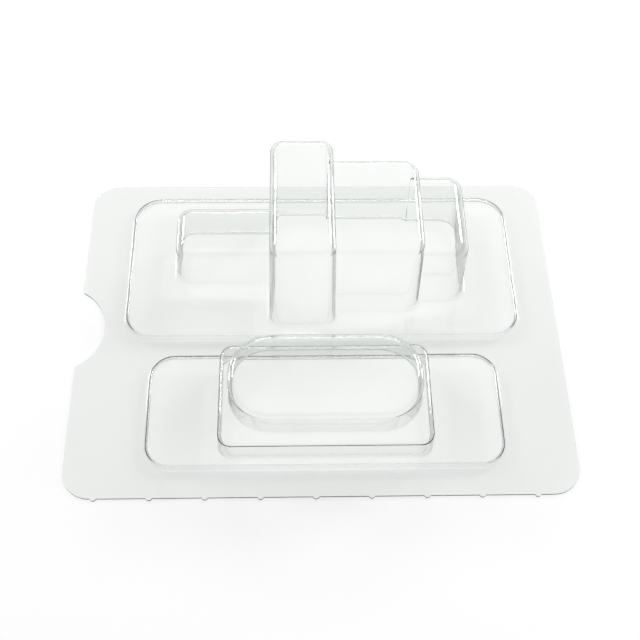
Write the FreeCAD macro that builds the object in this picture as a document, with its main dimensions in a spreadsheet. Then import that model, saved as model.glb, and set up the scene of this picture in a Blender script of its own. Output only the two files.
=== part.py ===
"""Thermoformed blister tray in clear sheet: one flat flange, two shallow pads and their domes.

The piece is made the way it is formed. A forming tool carries every raised shape at the
sheet's inner face. The draped skin carries the same shapes one sheet thickness further out.
The tray is the draped skin with the tool taken away, so its wall is the sheet all over.

Frame: millimetres, +Z up, +X along the long side, -Y the front edge. The origin is at the
middle of the flange's underside, which is the face that a lid is sealed to.
"""
import FreeCAD
import Part
import math
import os
from collections import namedtuple
import Sketcher

# Driving sizes: alias, value in mm (degrees for the draft), what it measures.
SIZES = (
    ("sheet_thickness", 0.5, "formed sheet"),
    ("draft", 1.0, "lean of every dome wall, degrees"),
    ("rim_left", 13.6, "flange left of the rear pad"),
    ("rim_right", 11.6, "flange right of the rear pad"),
    ("rim_front", 8.2, "flange in front of the front pad"),
    ("rim_back", 6.5, "flange behind the rear pad"),
    ("pad_gap", 6.4, "flange between the two pads"),
    ("flange_corner", 8.0, "corner radius of the flange"),
    ("notch_radius", 14.8, "finger notch in the left edge"),
    ("notch_depth", 7.5, "how far the notch bites in"),
    ("notch_lip", 1.2, "rounding where the notch meets the edge"),
    ("tag_inset", 8.9, "first cut tag on the front edge, from the left edge"),
    ("tag_pitch", 14.85, "spacing of the cut tags"),
    ("tag_count", 9, "number of cut tags"),
    ("tag_radius", 0.9, "end radius of a cut tag"),
    ("tag_reach", 0.6, "how far a cut tag stands out"),
    ("pad_height", 2.4, "both pads above the flange"),
    ("pad_edge", 0.95, "rounding of the pads' top edge"),
    ("pad_foot", 0.9, "rounding where the pads meet the flange"),
    ("rear_width", 114.8, "rear pad, wall to wall"),
    ("rear_depth", 51.0, "rear pad, front wall to back wall"),
    ("rear_corner", 8.0, "rear pad's corner radius"),
    ("front_width", 98.4, "front pad, wall to wall"),
    ("front_depth", 34.9, "front pad, front wall to back wall"),
    ("front_corner", 6.9, "front pad's corner radius"),
    ("land", 0.1, "flat left between two roundings"),
    ("left_inset", 14.7, "left dome's wall from the rear pad's left wall"),
    ("left_length", 27.3, "left dome, up to the tall dome"),
    ("tall_width", 19.1, "tall dome"),
    ("middle_length", 24.7, "middle dome, past the tall dome"),
    ("right_length", 13.1, "right dome, past the middle dome"),
    ("tall_depth", 41.5, "tall dome, front wall to back wall"),
    ("left_front_step", 15.85, "left dome's front wall behind the tall dome's"),
    ("left_back_step", 7.5, "left dome's back wall in front of the tall dome's"),
    ("middle_front_step", 5.25, "middle dome's front wall behind the tall dome's"),
    ("middle_back_step", 1.7, "middle dome's back wall in front of the tall dome's"),
    ("right_front_step", 3.6, "right dome's front wall behind the middle dome's"),
    ("right_back_step", 1.0, "right dome's back wall in front of the middle dome's"),
    ("tall_height", 38.9, "tall dome above the flange"),
    ("left_height", 17.7, "left dome above the flange"),
    ("middle_height", 32.0, "middle dome above the flange"),
    ("right_height", 26.4, "right dome above the flange"),
    ("tall_corner", 3.9, "tall dome's plan corners"),
    ("left_corner", 4.3, "left dome's plan corners"),
    ("middle_corner", 5.0, "middle dome's plan corners"),
    ("right_corner", 5.0, "right dome's plan corners"),
    ("tall_edge", 3.0, "rounding of the tall dome's top edge"),
    ("left_edge", 3.6, "rounding of the left dome's top edge"),
    ("middle_edge", 2.7, "rounding of the middle dome's top edge"),
    ("right_edge", 4.0, "rounding of the right dome's top edge"),
    ("tall_foot", 1.2, "rounding where the tall dome meets its pad"),
    ("dome_foot", 1.8, "rounding where the other rear domes meet the pad"),
    ("box_length", 58.2, "box on the front pad, wall to wall"),
    ("box_height", 10.8, "box above the flange"),
    ("box_corner", 3.9, "box's plan corners"),
    ("box_edge", 1.3, "rounding of the box's top edge"),
    ("box_foot", 0.65, "rounding where the box meets the front pad"),
    ("window_end_ledge", 2.85, "box top left at each end of the oval dome"),
    ("window_front_ledge", 3.4, "box top left in front of the oval dome"),
    ("window_back_ledge", 2.1, "box top left behind the oval dome"),
    ("window_corner", 11.5, "oval dome's end radius"),
    ("window_height", 20.8, "oval dome above the flange"),
    ("window_edge", 2.8, "rounding of the oval dome's rim"),
    ("window_foot", 0.6, "rounding where the oval dome meets the box"),
    ("tool_border", 5.0, "forming board beyond the flange"),
    ("tool_board", 3.0, "thickness of the forming board"),
)

# Two places nearer than this, in mm, are the same place.
NEAR = 0.01

# A rectangle seen from above, as expressions on the sheet; walls are at the form's foot.
Outline = namedtuple("Outline", "left right front back corner")
# A raised form: its outline, the levels of its foot and top, and its two roundings.
Form = namedtuple("Form", "name outline base top edge foot")
# One face of the sheet: its name, how far it lies inside the outer face, and its lift.
Face = namedtuple("Face", "name inset lift")

OUTER = Face("Skin", "0", "Sizes.sheet_thickness")
INNER = Face("Tool", "Sizes.sheet_thickness", "0")


def cells(text):
    """Write each @name in an expression as a cell of the sheet."""
    return text.replace("@", "Sizes.")


# Places worked out from the driving sizes.
FLANGE_WIDTH = cells("(@rim_left + @rear_width + @rim_right)")
FLANGE_DEPTH = cells("(@rim_front + @front_depth + @pad_gap + @rear_depth + @rim_back)")
REAR_LEFT = cells(f"(@rim_left - {FLANGE_WIDTH} / 2)")
REAR_BACK = cells(f"({FLANGE_DEPTH} / 2 - @rim_back)")
REAR_FRONT = cells(f"({REAR_BACK} - @rear_depth)")
REAR_MIDDLE = cells(f"({REAR_LEFT} + @rear_width / 2)")
FRONT_BACK = cells(f"({REAR_FRONT} - @pad_gap)")
FRONT_FRONT = cells(f"({FRONT_BACK} - @front_depth)")
TALL_LEFT = cells(f"({REAR_LEFT} + @left_inset + @left_length)")
TALL_RIGHT = cells(f"({TALL_LEFT} + @tall_width)")
TALL_MIDDLE = cells(f"({TALL_LEFT} + @tall_width / 2)")
TALL_FRONT = cells(f"({REAR_FRONT} + @pad_edge + @tall_foot + @land)")
TALL_BACK = cells(f"({TALL_FRONT} + @tall_depth)")
LEFT_LEFT = cells(f"({REAR_LEFT} + @left_inset)")
LEFT_FRONT = cells(f"({TALL_FRONT} + @left_front_step)")
LEFT_BACK = cells(f"({TALL_BACK} - @left_back_step)")
MIDDLE_RIGHT = cells(f"({TALL_RIGHT} + @middle_length)")
MIDDLE_FRONT = cells(f"({TALL_FRONT} + @middle_front_step)")
MIDDLE_BACK = cells(f"({TALL_BACK} - @middle_back_step)")
RIGHT_RIGHT = cells(f"({MIDDLE_RIGHT} + @right_length)")
RIGHT_FRONT = cells(f"({MIDDLE_FRONT} + @right_front_step)")
RIGHT_BACK = cells(f"({MIDDLE_BACK} - @right_back_step)")
BOX_MARGIN = cells("(@pad_edge + @box_foot + @land)")
BOX_FRONT = cells(f"({FRONT_FRONT} + {BOX_MARGIN})")
BOX_BACK = cells(f"({FRONT_BACK} - {BOX_MARGIN})")
WINDOW_FRONT = cells(f"({BOX_FRONT} + @window_front_ledge)")
WINDOW_BACK = cells(f"({BOX_BACK} - @window_back_ledge)")


def about_middle(length):
    """Left and right walls of a form centred on the pads."""
    return f"({REAR_MIDDLE} - {length} / 2)", f"({REAR_MIDDLE} + {length} / 2)"


def form_of(name, outline, base, sizes, foot):
    """A form whose corner, height and edge are the cells that begin with one word."""
    corner, top, edge = (f"Sizes.{sizes}_{size}" for size in ("corner", "height", "edge"))
    return Form(name, outline._replace(corner=corner), base, top, edge, f"Sizes.{foot}")


def pad_forms():
    """The pads, the box and its oval dome, each standing on the one before it or on the flange."""
    rear = Outline(*about_middle("Sizes.rear_width"), REAR_FRONT, REAR_BACK, "Sizes.rear_corner")
    front = Outline(*about_middle("Sizes.front_width"), FRONT_FRONT, FRONT_BACK, "Sizes.front_corner")
    box = Outline(*about_middle("Sizes.box_length"), BOX_FRONT, BOX_BACK, "")
    window_length = cells("(@box_length - 2 * @window_end_ledge)")
    window = Outline(*about_middle(window_length), WINDOW_FRONT, WINDOW_BACK, "")
    return (
        Form("RearPad", rear, "0", "Sizes.pad_height", "Sizes.pad_edge", "Sizes.pad_foot"),
        Form("FrontPad", front, "0", "Sizes.pad_height", "Sizes.pad_edge", "Sizes.pad_foot"),
        form_of("Box", box, "Sizes.pad_height", "box", "box_foot"),
        form_of("Window", window, "Sizes.box_height", "window", "window_foot"),
    )


def dome_forms():
    """The four domes in a row on the rear pad; three of them start inside the tall one."""
    tall = Outline(TALL_LEFT, TALL_RIGHT, TALL_FRONT, TALL_BACK, "")
    left = Outline(LEFT_LEFT, TALL_MIDDLE, LEFT_FRONT, LEFT_BACK, "")
    middle = Outline(TALL_MIDDLE, MIDDLE_RIGHT, MIDDLE_FRONT, MIDDLE_BACK, "")
    right = Outline(TALL_MIDDLE, RIGHT_RIGHT, RIGHT_FRONT, RIGHT_BACK, "")
    return (
        form_of("TallDome", tall, "Sizes.pad_height", "tall", "tall_foot"),
        form_of("LeftDome", left, "Sizes.pad_height", "left", "dome_foot"),
        form_of("MiddleDome", middle, "Sizes.pad_height", "middle", "dome_foot"),
        form_of("RightDome", right, "Sizes.pad_height", "right", "dome_foot"),
    )


def make_sizes(doc):
    """Put the driving sizes in a spreadsheet, one named cell each."""
    sheet = doc.addObject("Spreadsheet::Sheet", "Sizes")
    for row, (alias, value, note) in enumerate(SIZES, start=1):
        sheet.set(f"A{row}", alias)
        sheet.set(f"B{row}", str(value))
        sheet.set(f"C{row}", note)
        sheet.setAlias(f"B{row}", alias)
    doc.recompute()
    return sheet


def value_of(doc, expression):
    """The present value of an expression on the sheet."""
    return float(doc.getObject("Sizes").evalExpression(expression.replace("Sizes.", "")))


def inset_outline(outline, inset):
    """The same outline, every wall moved inwards by an expression."""
    return Outline(
        f"({outline.left} + {inset})",
        f"({outline.right} - ({inset}))",
        f"({outline.front} + {inset})",
        f"({outline.back} - ({inset}))",
        f"({outline.corner} - ({inset}))",
    )


def ground_sketch(body, name, centre_x, centre_y, level):
    """An empty level sketch whose own zero lies at the given place."""
    sketch = body.newObject("Sketcher::SketchObject", name)
    plane = [f for f in body.Origin.OriginFeatures if f.Role == "XY_Plane"][0]
    sketch.AttachmentSupport = [(plane, "")]
    sketch.MapMode = "FlatFace"
    sketch.setExpression("AttachmentOffset.Base.x", centre_x)
    sketch.setExpression("AttachmentOffset.Base.y", centre_y)
    sketch.setExpression("AttachmentOffset.Base.z", level)
    return sketch


def name_last(sketch, label, expression):
    """Name the constraint added last and tie it to the sheet."""
    sketch.renameConstraint(sketch.ConstraintCount - 1, label)
    sketch.setExpression(f"Constraints.{label}", expression)


def rounded_rectangle(body, name, outline, level):
    """Sketch an outline: four sides and four equal corner arcs about its own middle."""
    doc = body.Document
    width, depth = f"({outline.right} - {outline.left})", f"({outline.back} - {outline.front})"
    centre = f"{outline.left} + {width} / 2", f"{outline.front} + {depth} / 2"
    sketch = ground_sketch(body, name, *centre, level)
    half_x, half_y = value_of(doc, width) / 2, value_of(doc, depth) / 2
    radius = value_of(doc, outline.corner)
    ends_x, ends_y = half_x - radius, half_y - radius
    sides = (
        ((-ends_x, -half_y), (ends_x, -half_y)),
        ((half_x, -ends_y), (half_x, ends_y)),
        ((ends_x, half_y), (-ends_x, half_y)),
        ((-half_x, ends_y), (-half_x, -ends_y)),
    )
    middles = ((ends_x, -ends_y), (ends_x, ends_y), (-ends_x, ends_y), (-ends_x, -ends_y))
    for start, end in sides:
        sketch.addGeometry(Part.LineSegment(FreeCAD.Vector(*start), FreeCAD.Vector(*end)), False)
    for corner, middle in enumerate(middles):
        circle = Part.Circle(FreeCAD.Vector(*middle), FreeCAD.Vector(0, 0, 1), radius)
        end = corner * math.pi / 2
        sketch.addGeometry(Part.ArcOfCircle(circle, end - math.pi / 2, end), False)
    for side in range(4):
        arc, following = 4 + side, (side + 1) % 4
        sketch.addConstraint(Sketcher.Constraint("Tangent", side, 2, arc, 1))
        sketch.addConstraint(Sketcher.Constraint("Tangent", arc, 2, following, 1))
        sketch.addConstraint(Sketcher.Constraint("Vertical" if side % 2 else "Horizontal", side))
    for arc in (5, 6, 7):
        sketch.addConstraint(Sketcher.Constraint("Equal", 4, arc))
    sketch.addConstraint(Sketcher.Constraint("Symmetric", 0, 1, 2, 1, -1, 1))
    sketch.addConstraint(Sketcher.Constraint("DistanceX", 3, 1, 1, 1, 2 * half_x))
    name_last(sketch, "width", width)
    sketch.addConstraint(Sketcher.Constraint("DistanceY", 0, 1, 2, 2, 2 * half_y))
    name_last(sketch, "depth", depth)
    sketch.addConstraint(Sketcher.Constraint("Radius", 4, radius))
    name_last(sketch, "corner", outline.corner)
    return sketch


def ring_sketch(body, name, centre_x, centre_y, level, radius):
    """Sketch a circle about its own zero."""
    sketch = ground_sketch(body, name, centre_x, centre_y, level)
    size = value_of(body.Document, radius)
    sketch.addGeometry(Part.Circle(FreeCAD.Vector(), FreeCAD.Vector(0, 0, 1), size), False)
    sketch.addConstraint(Sketcher.Constraint("Coincident", 0, 3, -1, 1))
    sketch.addConstraint(Sketcher.Constraint("Radius", 0, size))
    name_last(sketch, "radius", radius)
    return sketch


def raise_pad(body, name, sketch, height, draft="0"):
    """Raise a sketch to a height, its walls leaning inwards by the draft."""
    pad = body.newObject("PartDesign::Pad", name)
    pad.Profile = sketch
    pad.setExpression("Length", height)
    pad.setExpression("TaperAngle", f"-({draft})")
    body.Document.recompute()
    return pad


def within(box, level, outline, doc):
    """Whether an edge's box is level, at a height, and inside an outline."""
    return (
        abs(box.ZMin - level) < NEAR
        and abs(box.ZMax - level) < NEAR
        and box.XMin > value_of(doc, outline.left) - NEAR
        and box.XMax < value_of(doc, outline.right) + NEAR
        and box.YMin > value_of(doc, outline.front) - NEAR
        and box.YMax < value_of(doc, outline.back) + NEAR
    )


def round_edges(body, name, numbers, radius):
    """Round the numbered edges of the body so far."""
    base = body.Tip
    fillet = body.newObject("PartDesign::Fillet", name)
    fillet.Base = (base, [f"Edge{number}" for number in numbers])
    fillet.setExpression("Radius", radius)
    body.Document.recompute()


def round_loop(body, name, level, outline, radius):
    """Round the loop of edges that rings an outline at a height."""
    doc = body.Document
    height = value_of(doc, level)
    edges = enumerate(body.Tip.Shape.Edges, start=1)
    loop = [number for number, edge in edges if within(edge.BoundBox, height, outline, doc)]
    round_edges(body, name, loop, radius)


def raise_form(body, form, face):
    """Raise one form with drafted walls, a rounded top edge and a rounded foot."""
    outline = inset_outline(form.outline, face.inset)
    base, top = f"{face.lift} + {form.base}", f"{face.lift} + {form.top}"
    sketch = rounded_rectangle(body, f"{form.name}{face.name}Outline", outline, base)
    raise_pad(body, f"{form.name}{face.name}Rise", sketch, f"{form.top} - ({form.base})", "Sizes.draft")
    round_loop(body, f"{form.name}{face.name}Edge", top, outline, f"{form.edge} - ({face.inset})")
    round_loop(body, f"{form.name}{face.name}Foot", base, outline, f"{form.foot} + {face.inset}")


def flange_outline(border):
    """The flange, or the forming board when a border is added."""
    right, back = f"({FLANGE_WIDTH} / 2 + {border})", f"({FLANGE_DEPTH} / 2 + {border})"
    return Outline(f"(-{right})", right, f"(-{back})", back, f"(Sizes.flange_corner + {border})")


def cut_notch(body):
    """Cut the finger notch in the middle of the left edge and round its two lips."""
    doc = body.Document
    centre = f"-{FLANGE_WIDTH} / 2 + Sizes.notch_depth - Sizes.notch_radius"
    sketch = ring_sketch(body, "NotchCircle", centre, "0", "Sizes.sheet_thickness", "Sizes.notch_radius")
    pocket = body.newObject("PartDesign::Pocket", "Notch")
    pocket.Profile = sketch
    pocket.Type = "ThroughAll"
    doc.recompute()
    left, reach = -value_of(doc, FLANGE_WIDTH) / 2, value_of(doc, "Sizes.notch_radius")
    lips = [
        number
        for number, edge in enumerate(pocket.Shape.Edges, start=1)
        if abs(edge.BoundBox.XMax - left) < NEAR
        and edge.BoundBox.XLength + edge.BoundBox.YLength < NEAR
        and abs(edge.BoundBox.Center.y) < reach
    ]
    round_edges(body, "NotchLips", lips, "Sizes.notch_lip")


def add_tags(body):
    """Leave a row of small cut tags along the front edge."""
    first = f"-{FLANGE_WIDTH} / 2 + Sizes.tag_inset"
    middle = f"-{FLANGE_DEPTH} / 2 + Sizes.tag_radius - Sizes.tag_reach"
    sketch = ring_sketch(body, "TagCircle", first, middle, "0", "Sizes.tag_radius")
    tag = raise_pad(body, "Tag", sketch, "Sizes.sheet_thickness")
    row = body.newObject("PartDesign::LinearPattern", "TagRow")
    row.Originals = [tag]
    axis = [f for f in body.Origin.OriginFeatures if f.Role == "X_Axis"][0]
    row.Direction = (axis, [""])
    row.setExpression("Length", "Sizes.tag_pitch * (Sizes.tag_count - 1)")
    row.setExpression("Occurrences", "Sizes.tag_count")
    body.Tip = row
    body.Document.recompute()


def main_body(doc, face, border, board):
    """The flange sheet or the forming board, with the pads, the box and the oval dome."""
    body = doc.addObject("PartDesign::Body", f"{face.name}Main")
    level = f"{face.lift} - {board}"
    sketch = rounded_rectangle(body, f"{face.name}BoardOutline", flange_outline(border), level)
    raise_pad(body, f"{face.name}Board", sketch, board)
    for form in pad_forms():
        raise_form(body, form, face)
    return body


def dome_body(doc, form, face):
    """One rear dome with its rounded foot, on a thin plate that sinks into the pad."""
    body = doc.addObject("PartDesign::Body", f"{form.name}{face.name}")
    skirt = f"(-({form.foot} + {face.inset} + Sizes.land / 2))"
    outline = inset_outline(inset_outline(form.outline, face.inset), skirt)
    plate, name = "Sizes.pad_height / 2", f"{form.name}{face.name}Plate"
    sketch = rounded_rectangle(body, f"{name}Outline", outline, f"{face.lift} + {form.base} - {plate}")
    raise_pad(body, name, sketch, plate)
    raise_form(body, form, face)
    return body


def fuse_face(doc, face, border, board):
    """Everything on one face of the sheet as a single solid."""
    main = main_body(doc, face, border, board)
    if face is OUTER:
        cut_notch(main)
        add_tags(main)
    fuse = doc.addObject("Part::MultiFuse", face.name)
    fuse.Shapes = [main] + [dome_body(doc, form, face) for form in dome_forms()]
    fuse.Refine = True
    doc.recompute()
    return fuse


def check(doc, tray):
    """Stop before anything is written if a feature failed or the tray is not one sound solid."""
    for item in doc.Objects:
        if {"Invalid", "Error"} & set(item.State):
            raise RuntimeError(f"{item.Label} failed: {item.State}")
    if tray.Shape.isNull() or not tray.Shape.isValid() or len(tray.Shape.Solids) != 1:
        raise RuntimeError("the tray is not one valid solid")


def main():
    """Build the tray and write it."""
    doc = FreeCAD.newDocument("blister_tray")
    make_sizes(doc)
    skin = fuse_face(doc, OUTER, "0", "2 * Sizes.sheet_thickness")
    tool = fuse_face(doc, INNER, "Sizes.tool_border", "Sizes.tool_board")
    tray = doc.addObject("Part::Cut", "Tray")
    tray.Base = skin
    tray.Tool = tool
    tray.Label = "tray"
    tray.Placement = FreeCAD.Placement()
    doc.recompute()
    check(doc, tray)
    box = tray.Shape.BoundBox
    print(f"tray: {box.XLength:.2f} x {box.YLength:.2f} x {box.ZLength:.2f} mm")
    print(f"volume {tray.Shape.Volume / 1000:.2f} cm3, {len(tray.Shape.Faces)} faces")
    os.makedirs("parts", exist_ok=True)
    tray.Shape.exportStep(f"parts/{tray.Label}.step")


main()
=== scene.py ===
# %% [markdown]
# # A clear blister tray
#
# This lesson dresses a thermoformed tray in clear sheet. The shape is already
# finished in CAD, so almost all of the work is light and one good material.
# The first step loads that shape. It is a fixed frame: it is never moved and
# its mesh is never edited, and every place below is worked out from it.

import math

import bpy
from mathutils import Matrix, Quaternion, Vector


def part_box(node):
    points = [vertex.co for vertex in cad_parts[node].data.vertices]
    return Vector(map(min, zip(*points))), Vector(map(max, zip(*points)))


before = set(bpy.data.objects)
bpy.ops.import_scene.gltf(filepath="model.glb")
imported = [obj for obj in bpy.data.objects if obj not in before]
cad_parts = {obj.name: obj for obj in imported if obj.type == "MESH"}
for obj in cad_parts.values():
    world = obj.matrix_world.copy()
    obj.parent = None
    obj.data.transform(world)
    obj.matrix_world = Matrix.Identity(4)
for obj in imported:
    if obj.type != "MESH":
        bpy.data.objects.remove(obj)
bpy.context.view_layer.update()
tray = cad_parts["tray"]
tray_low, tray_high = (Vector(corner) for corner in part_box("tray"))
tray_size = tray_high - tray_low
print("tray", [round(side * 1000, 1) for side in tray_size], "mm")

# %% [markdown]
# ## The camera
#
# A long lens looks down at the tray from the front, a little to the left of
# its middle. The camera is aimed at a point, then turned about its own line
# of sight for the slight tilt. Its distance is about two tray lengths, which
# keeps the near edge clearly wider than the far one.

# %% Place the camera
SENSOR = 36.0
LENS = 61.65
CLIP_START = 0.01
CAMERA_TILT = math.radians(1.66)
camera_place = Vector((-0.00726, -0.1734, 0.2709))
camera_aim = Vector((0.0003, 0.0026, 0.0005))


def turned_to(place, aim):
    """The turn that points a camera or a lamp at a place."""
    return (Vector(aim) - Vector(place)).to_track_quat("-Z", "Y")


camera_data = bpy.data.cameras.new("camera")
camera_data.sensor_width = SENSOR
camera_data.lens = LENS
camera_data.clip_start = CLIP_START
camera = bpy.data.objects.new("camera", camera_data)
bpy.context.scene.collection.objects.link(camera)
camera.location = camera_place
camera.rotation_mode = "QUATERNION"
tilt = Quaternion((0, 0, 1), CAMERA_TILT)
camera.rotation_quaternion = turned_to(camera_place, camera_aim) @ tilt
bpy.context.scene.camera = camera
bpy.context.scene.view_settings.view_transform = "Standard"
print("camera", round((camera_aim - camera_place).length * 1000), "mm away")

# %% [markdown]
# ## Sockets that can be added up
#
# A material is a graph of nodes, and its arithmetic is easier to read as
# expressions. This small class wraps one socket. Adding or multiplying two of
# them adds a Math node, and `node` makes any other node: its settings first,
# because some settings change which sockets it has, then its sockets.


# %% A class for shader maths
class Signal:
    """One output socket of a node tree, ready for arithmetic."""

    def __init__(self, tree, socket=None):
        self.tree = tree
        self.socket = socket

    def node(self, kind, settings=None, sockets=None):
        """Add a node, set it up, then feed its sockets by name or by number."""
        made = self.tree.nodes.new(kind)
        for name, value in (settings or {}).items():
            setattr(made, name, value)
        for name, value in (sockets or {}).items():
            if isinstance(value, Signal):
                self.tree.links.new(value.socket, made.inputs[name])
            else:
                made.inputs[name].default_value = value
        return made

    def take(self, made, output=0):
        """One output of a node as a new signal."""
        return Signal(self.tree, made.outputs[output])

    def maths(self, operation, *values):
        """A Math node on signals and numbers."""
        settings = {"operation": operation}
        made = self.node("ShaderNodeMath", settings, dict(enumerate(values)))
        return self.take(made)

    def __add__(self, other):
        return self.maths("ADD", self, other)

    __radd__ = __add__

    def __sub__(self, other):
        return self.maths("SUBTRACT", self, other)

    def __rsub__(self, other):
        return self.maths("SUBTRACT", other, self)

    def __mul__(self, other):
        return self.maths("MULTIPLY", self, other)

    __rmul__ = __mul__

    def between(self, low, high):
        """0 below low, 1 above high and a smooth rise between."""
        settings = {"interpolation_type": "SMOOTHSTEP"}
        sockets = {"Value": self, "From Min": low, "From Max": high}
        return self.take(self.node("ShaderNodeMapRange", settings, sockets))

    def upward(self, direction):
        """The Z part of a vector."""
        sockets = {"Vector": direction}
        return self.take(self.node("ShaderNodeSeparateXYZ", sockets=sockets), "Z")


def fresh_tree(owner):
    """An empty node tree for a material or a world, as a signal to build on."""
    owner.use_nodes = True
    owner.node_tree.nodes.clear()
    return Signal(owner.node_tree)


print("shader maths ready")

# %% [markdown]
# ## The sheet
#
# The tray is clear PETG, half a millimetre thick. The CAD shape has both
# faces of the sheet, so real refraction works: light bends where the sheet is
# rounded, and the roundings draw their own dark and light lines. Three things
# keep it from looking like perfect glass. The forming leaves a gentle ripple,
# the surface is a little hazy in places, and the cut edge is matt and darker.

# %% The sheet's measures
SHEET_THICKNESS = 0.0005
PETG_IOR = 1.57
SHEET_TINT = (0.955, 0.965, 0.956, 1.0)
# The steep tint is partly the longer way through the sheet and partly painted shade that
# darkens the steep walls.
STEEP_TINT_AND_PAINTED_SHADE = (0.4, 0.44, 0.405, 1.0)
EDGE_TINT = (0.42, 0.5, 0.46, 1.0)
print("sheet", SHEET_THICKNESS * 1000, "mm thick, IOR", PETG_IOR)

# %% [markdown]
# ## The cut edge
#
# The punch that cuts the tray out leaves a matt, darker edge. It could be
# painted by hand, but it is easy to say where it is: the faces that stand
# upright and lie lower than the top of the flange. A product of two masks
# says just that, and it follows the CAD shape if that changes.

# %% Where the sheet was cut
UPRIGHT_FROM, UPRIGHT_TO = 0.75, 0.9
LOW_TO, LOW_FROM = 1.05, 1.3

sheet = bpy.data.materials.new("clear_petg_sheet")
look = fresh_tree(sheet)
place = look.node("ShaderNodeTexCoord")
position = look.take(place, "Object")
height = look.upward(position)
level = look.upward(look.take(place, "Normal"))
steepness = 1 - level.maths("ABSOLUTE", level)
low_band = (SHEET_THICKNESS * LOW_TO, SHEET_THICKNESS * LOW_FROM)
is_low = 1 - height.between(*low_band)
cut_edge = steepness.between(UPRIGHT_FROM, UPRIGHT_TO) * is_low
print("cut edge below", round(low_band[1] * 1000, 2), "mm")

# %% [markdown]
# ## Ripple and haze
#
# A formed sheet is never quite flat, and it picks up faint haze where it
# slid on the tool. Both come from noise on Object coordinates, so they stay
# on the sheet from every side. The ripple is about a centimetre long and goes
# through a Bump node. The haze only opens the roughness a little, in patches.

# %% Ripple and haze
RIPPLE_LENGTH = 0.011
RIPPLE_HEIGHT = 0.00006
HAZE = 0.07
HAZE_FROM, HAZE_TO = 0.5, 0.8
HAZE_SCALE = 45.0
EDGE_ROUGHNESS = 0.3


def noise(scale, detail, coarseness):
    """Soft noise that stays on the sheet."""
    sockets = {"Vector": position, "Scale": scale, "Detail": detail, "Roughness": coarseness}
    return look.take(look.node("ShaderNodeTexNoise", {"noise_dimensions": "3D"}, sockets))


ripple = noise(1 / RIPPLE_LENGTH, 1.0, 0.4)
bump = look.take(look.node(
    "ShaderNodeBump",
    sockets={"Height": ripple, "Distance": RIPPLE_HEIGHT, "Strength": 1.0},
))
haze = noise(HAZE_SCALE, 3.0, 0.6).between(HAZE_FROM, HAZE_TO) * HAZE
roughness = haze + cut_edge * EDGE_ROUGHNESS
print("ripple every", RIPPLE_LENGTH * 1000, "mm, haze up to", HAZE)

# %% [markdown]
# ## The clear material
#
# Clear plastic is glass with a lower index. Seen along its surface, the light
# has a longer way to go through the sheet, so a Layer Weight node deepens the
# tint there. The steep tint is much darker than that longer way gives, so it is
# also painted shade that darkens the steep walls and the dome fronts. Real glass
# would also block the lamps, because light that bends twice hardly ever finds
# one. So the rays that carry light to the floor pass straight through a plain
# transparent sheet, which is tinted the same way.

# %% The clear material
GRAZING_FROM, GRAZING_TO = 0.35, 1.0
LIGHT_TINT = (0.965, 0.972, 0.966, 1.0)
LIGHT_STEEP_TINT = (0.45, 0.47, 0.46, 1.0)


def blend_colours(share, low, high):
    """Mix two colours by a share from 0 to 1."""
    made = look.node("ShaderNodeMix", {"data_type": "RGBA"}, {0: share, 6: low, 7: high})
    return look.take(made, 2)


def blend_shaders(share, low, high):
    """Mix two shaders by a share from 0 to 1."""
    sockets = {0: share, 1: look.take(low), 2: look.take(high)}
    return look.node("ShaderNodeMixShader", sockets=sockets)


def see_through(colour):
    """A plain transparent shader."""
    return look.node("ShaderNodeBsdfTransparent", sockets={"Color": colour})


slant = look.take(look.node("ShaderNodeLayerWeight", sockets={"Blend": 0.5}), "Facing")
grazing_share = slant.between(GRAZING_FROM, GRAZING_TO)
# Painted shade: the tint deepens on walls seen edge-on, further than the longer way through
# the sheet would.
tint_and_painted_wall_shade = blend_colours(grazing_share, SHEET_TINT, STEEP_TINT_AND_PAINTED_SHADE)
glass = look.node(
    "ShaderNodeBsdfPrincipled",
    sockets={
        "Base Color": blend_colours(cut_edge, tint_and_painted_wall_shade, EDGE_TINT),
        "Roughness": roughness,
        "Transmission Weight": 1.0,
        "IOR": PETG_IOR,
        "Normal": bump,
    },
)
lamp_light = blend_shaders(grazing_share, see_through(LIGHT_TINT), see_through(LIGHT_STEEP_TINT))
path = look.node("ShaderNodeLightPath")
lighting = look.take(path, "Is Shadow Ray") + look.take(path, "Is Diffuse Ray")
shown = blend_shaders(lighting.maths("MINIMUM", lighting, 1.0), glass, lamp_light)
look.node("ShaderNodeOutputMaterial", sockets={"Surface": look.take(shown)})
for slot in tray.material_slots:
    slot.material = sheet
print("sheet on", len(tray.material_slots), "slot")

# %% [markdown]
# ## The floor
#
# Clear plastic shows what is around it, so the surroundings are the other
# half of the material. The floor is a pale, matt table that also glows a
# little. The glow brings it up to white in the open, and it is weaker where
# the floor is seen through the sheet, and weakest where the sheet mirrors it,
# so the tray stands out against it. Real shadows stay, because the glow adds
# no light to the tray.

# %% The floor
FLOOR_SIDE = 40.0
FLOOR_DROP = 0.00005
FLOOR_COLOUR = (0.7, 0.7, 0.7, 1.0)
WHITE = (1, 1, 1, 1)
OPEN_GLOW = 0.48
THROUGH_GLOW = 0.36
MIRRORED_SHARE = 0.3

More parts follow.
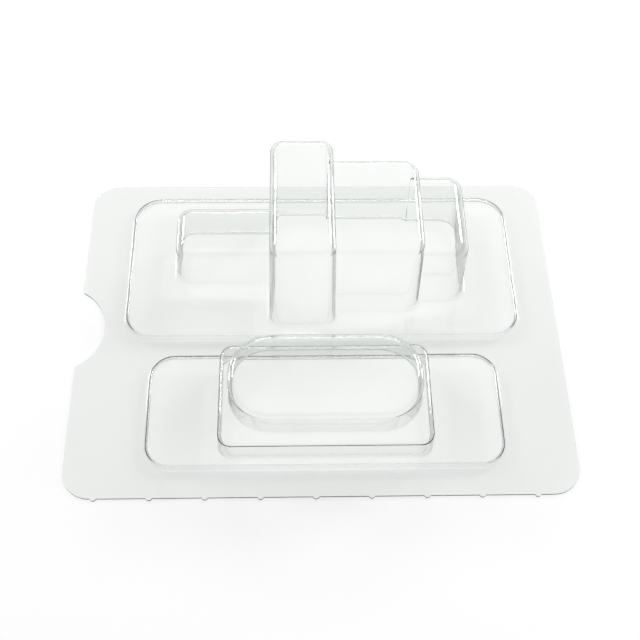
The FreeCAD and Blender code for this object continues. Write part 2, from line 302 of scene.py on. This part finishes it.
floor_level = tray_low.z - FLOOR_DROP
bpy.ops.mesh.primitive_plane_add(size=FLOOR_SIDE, location=(0, 0, floor_level))
floor = bpy.context.object
floor.name = "floor"
floor_look = bpy.data.materials.new("white_table")
ground = fresh_tree(floor_look)
glance = ground.node("ShaderNodeLightPath")
through = ground.take(glance, "Is Transmission Ray")
mirrored = ground.take(glance, "Is Glossy Ray")
in_sheet = through + MIRRORED_SHARE * mirrored
direct = 1 - ground.take(glance, "Diffuse Depth").between(0.0, 1.0)
in_open = ground.take(glance, "Is Camera Ray")
strength = in_open * OPEN_GLOW + in_sheet * direct * THROUGH_GLOW
glow = ground.node("ShaderNodeEmission", sockets={"Color": WHITE, "Strength": strength})
matt = ground.node("ShaderNodeBsdfDiffuse", sockets={"Color": FLOOR_COLOUR})
both = ground.node("ShaderNodeAddShader", sockets={0: ground.take(glow), 1: ground.take(matt)})
ground.node("ShaderNodeOutputMaterial", sockets={"Surface": ground.take(both)})
floor.data.materials.append(floor_look)
print("floor at", round(floor_level * 1000, 2), "mm")

# %% [markdown]
# ## The room
#
# The room is white where it is seen, straight or through the sheet, and a
# plain 0.4 where it only lights the scene. Reflections get a room of their
# own, dark at the horizon and bright overhead. A tray's tops then mirror more
# light than its walls do, which tells the eye how the faces stand.

# %% The room
ROOM_LIGHT = 0.4
HORIZON = 0.05
CEILING = 0.75
RISE_FROM, RISE_TO = 0.3, 0.8

room = bpy.data.worlds.new("pale_room")
bpy.context.scene.world = room
air = fresh_tree(room)
rays = air.node("ShaderNodeLightPath")
seen = air.take(rays, "Is Camera Ray") + air.take(rays, "Is Transmission Ray")
mirrored = air.take(rays, "Is Glossy Ray")
direct = 1 - air.take(rays, "Diffuse Depth").between(0.0, 1.0)
rise = air.upward(air.take(air.node("ShaderNodeTexCoord"), "Generated"))
walls = HORIZON + rise.between(RISE_FROM, RISE_TO) * (CEILING - HORIZON)
extra = seen * (1 - ROOM_LIGHT) + mirrored * (walls - ROOM_LIGHT)
strength = ROOM_LIGHT + direct * extra
backdrop = air.node("ShaderNodeBackground", sockets={"Color": WHITE, "Strength": strength})
air.node("ShaderNodeOutputWorld", sockets={"Surface": air.take(backdrop)})
print("room made")

# %% [markdown]
# ## The lamps
#
# Large soft lamps stand to the left, to the right and behind, and each draws
# one soft line along the rounded edges that face it. The side lamps stand
# where the domes' roundings mirror them into the camera: a mirror turns a ray
# by twice its own slope, so that place is found from the rounding's middle.


# %% The lamps
LAMPS = (
    # name, place, width, depth, watts
    ("right_lamp", (0.52, 0.40, 0.32), 0.22, 0.10, 2.4),
    ("left_lamp", (-0.52, 0.40, 0.32), 0.22, 0.08, 1.5),
    ("back_lamp", (0.05, 0.75, 0.40), 0.5, 0.10, 1.5),
)
centre = (tray_low + tray_high) / 2
for name, lamp_place, width, depth, watts in LAMPS:
    data = bpy.data.lights.new(name, "AREA")
    data.shape = "RECTANGLE"
    data.size = width
    data.size_y = depth
    data.energy = watts
    lamp = bpy.data.objects.new(name, data)
    lamp.location = lamp_place
    lamp.rotation_mode = "QUATERNION"
    lamp.rotation_quaternion = turned_to(lamp_place, centre)
    bpy.context.scene.collection.objects.link(lamp)
print(len(LAMPS), "lamps")
